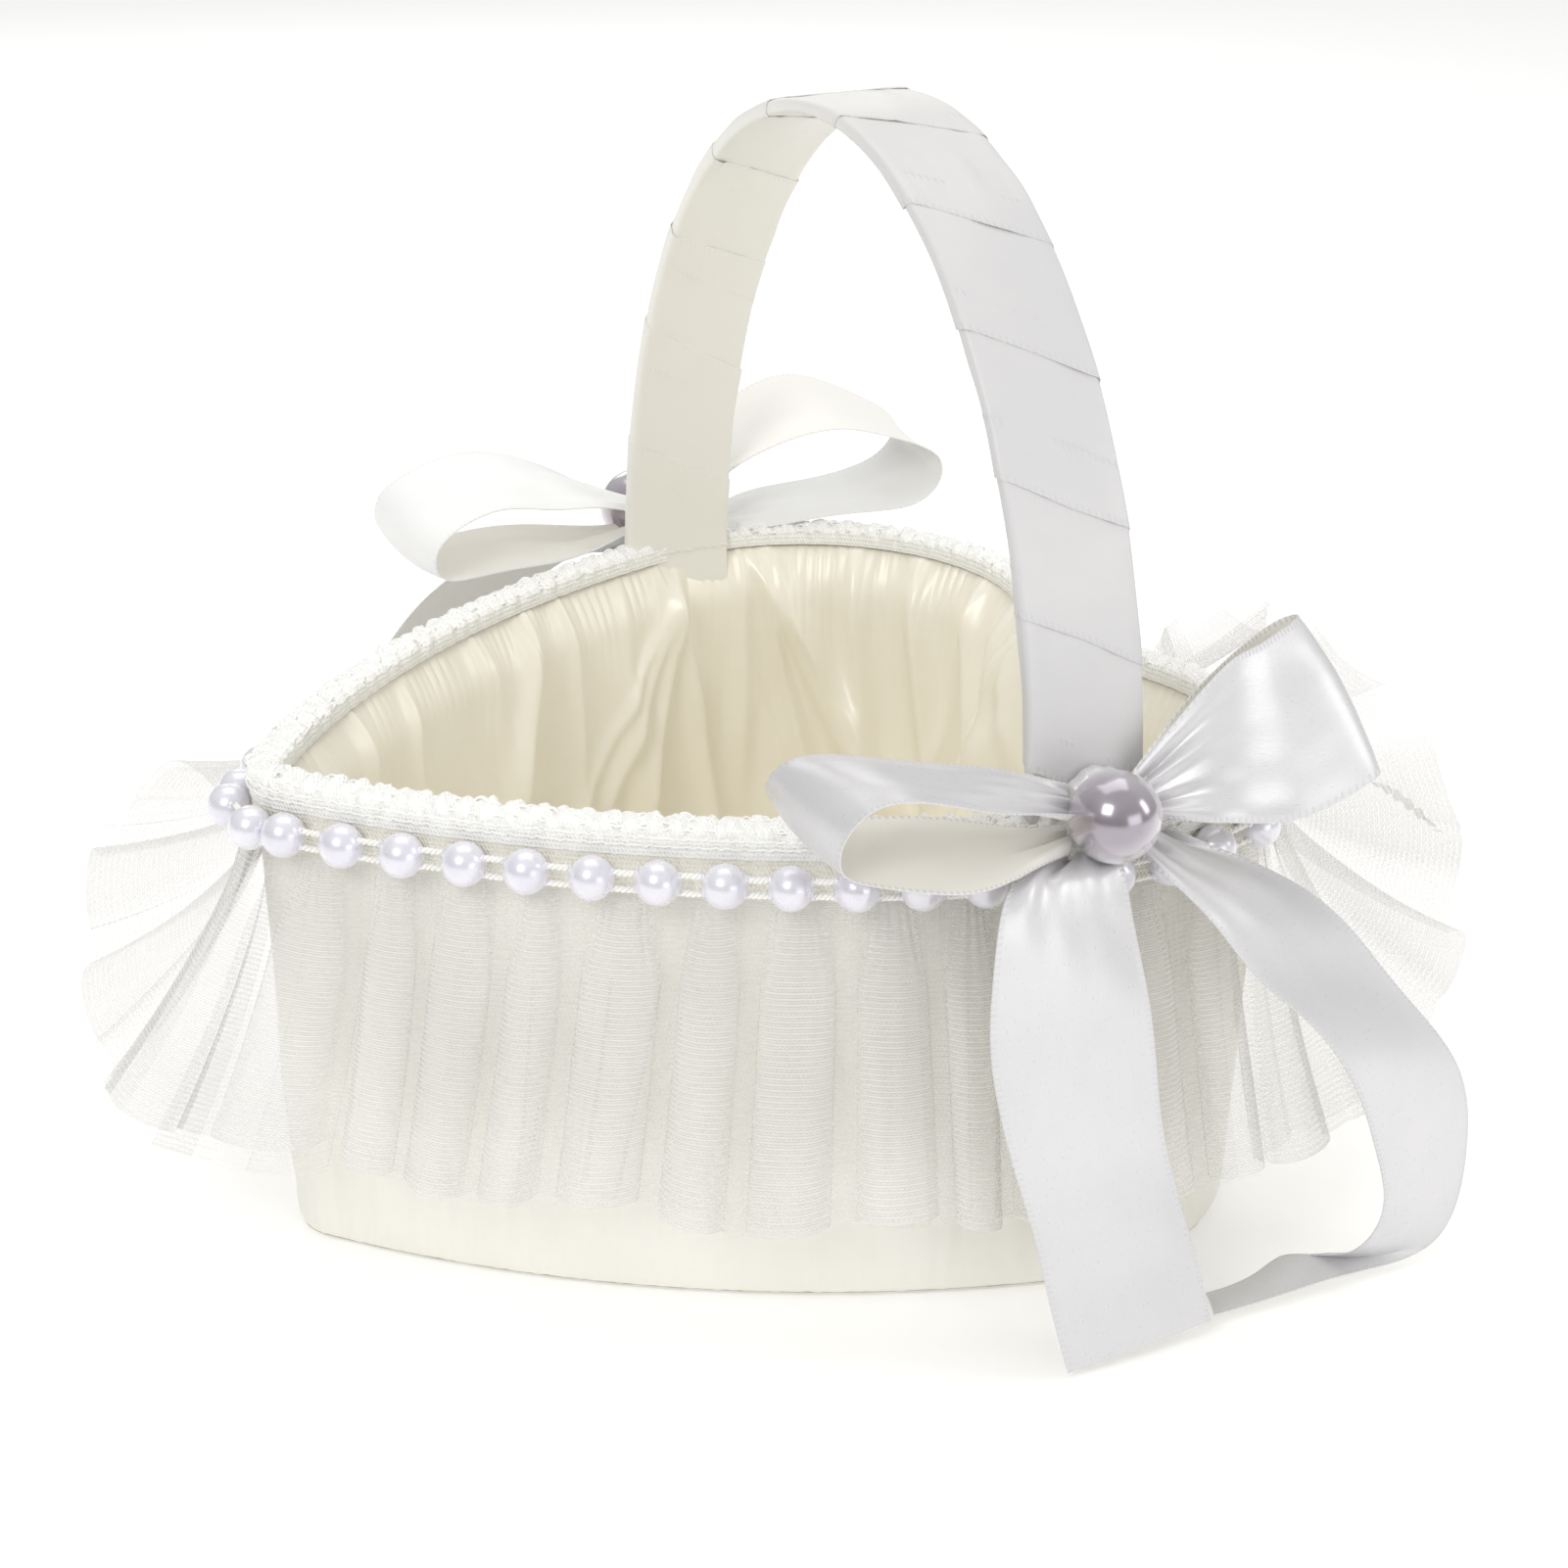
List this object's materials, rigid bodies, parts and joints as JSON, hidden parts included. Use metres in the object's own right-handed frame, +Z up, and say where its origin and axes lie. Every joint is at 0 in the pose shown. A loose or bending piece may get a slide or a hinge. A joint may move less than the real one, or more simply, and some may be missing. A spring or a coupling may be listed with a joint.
{
  "type": "flower girl basket",
  "caption": "Heart-shaped satin basket with a fixed ribbon-wrapped arch handle, pearl and lace rim, tulle ruffle and satin bows.",
  "frame": {"origin": "on the surface that the basket stands on, midway between the two feet of the handle", "axes": "+Z up; +Y from the front foot of the handle to the back foot; the point of the heart is towards -X and its dip towards +X"},
  "size_m": [0.3252, 0.2798, 0.253],
  "materials": {
    "satin_cover": "smooth ivory satin glued over the board, soft sheen",
    "satin_lining": "gathered cream satin, bright folds",
    "board": "plain grey board",
    "wadding": "soft polyester wadding",
    "wire": "plain drawn wire",
    "lace": "frilly white braid with loose yarn ends",
    "tape": "plain woven tape",
    "small_pearl": "pearl lacquer, lilac-white",
    "thread": "twisted white thread",
    "tulle": "sheer white net",
    "handle_ribbon": "satin ribbon wound on a slant, woven selvedges",
    "bow_ribbon": "cool white satin ribbon with a soft gloss",
    "big_pearl": "mirror-like silvery-lilac pearl lacquer"
  },
  "bodies": {
    "root": {"base_cover": "satin_cover", "base_board": "board", "shell_wall": "board", "outer_cover": "satin_cover", "rim_wire": "wire", "floor_pad": "wadding", "lining_floor": "satin_lining", "lining_wall": "satin_lining", "rim_lace": "lace", "tulle_tape": "tape", "pearl_string": "small_pearl", "thread_upper": "thread", "thread_lower": "thread", "tulle_under": "tulle", "tulle_over": "tulle", "handle_core": "board", "handle_wrap": "handle_ribbon", "front_knot": "bow_ribbon", "front_pearl": "big_pearl", "front_loop_left": "bow_ribbon", "front_loop_right": "bow_ribbon", "front_tail_left": "bow_ribbon", "front_tail_right": "bow_ribbon", "back_knot": "bow_ribbon", "back_pearl": "big_pearl", "back_loop_left": "bow_ribbon", "back_loop_right": "bow_ribbon", "back_tail_left": "bow_ribbon", "back_tail_right": "bow_ribbon"}
  },
  "joints": []
}
